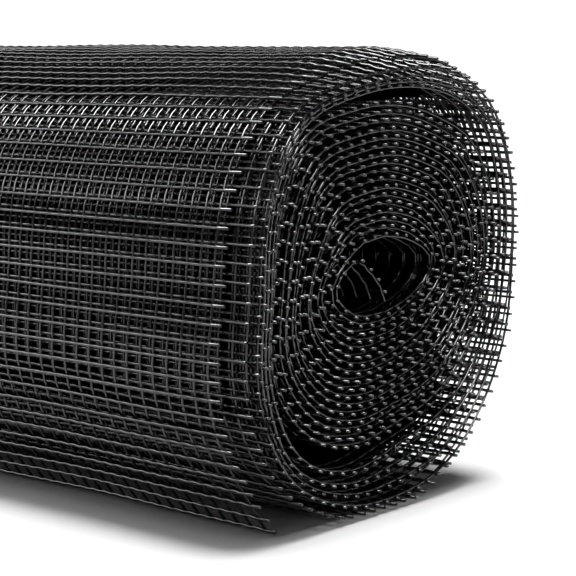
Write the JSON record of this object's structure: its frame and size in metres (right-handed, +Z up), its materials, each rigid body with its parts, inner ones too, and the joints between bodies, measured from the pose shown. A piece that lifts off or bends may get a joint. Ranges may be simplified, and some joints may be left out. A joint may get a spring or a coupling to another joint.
{
  "type": "roll of plastic garden mesh",
  "caption": "Loose spiral roll of black plastic garden mesh lying on its side, oval open core, cut outer end hanging to the floor.",
  "frame": {"origin": "on the floor, under the middle of the bounding box", "axes": "+X along the roll's axis towards the end that shows its spiral, +Z up, the loose outer end on the -Y side"},
  "size_m": [0.5092, 0.1304, 0.1329],
  "materials": {
    "mesh_black": "satin extruded polyethylene strands, laid crosswise and bonded where they cross"
  },
  "bodies": {
    "root": {"wound_roll": "mesh_black", "outer_end": "mesh_black", "inner_end": "mesh_black"}
  },
  "joints": []
}
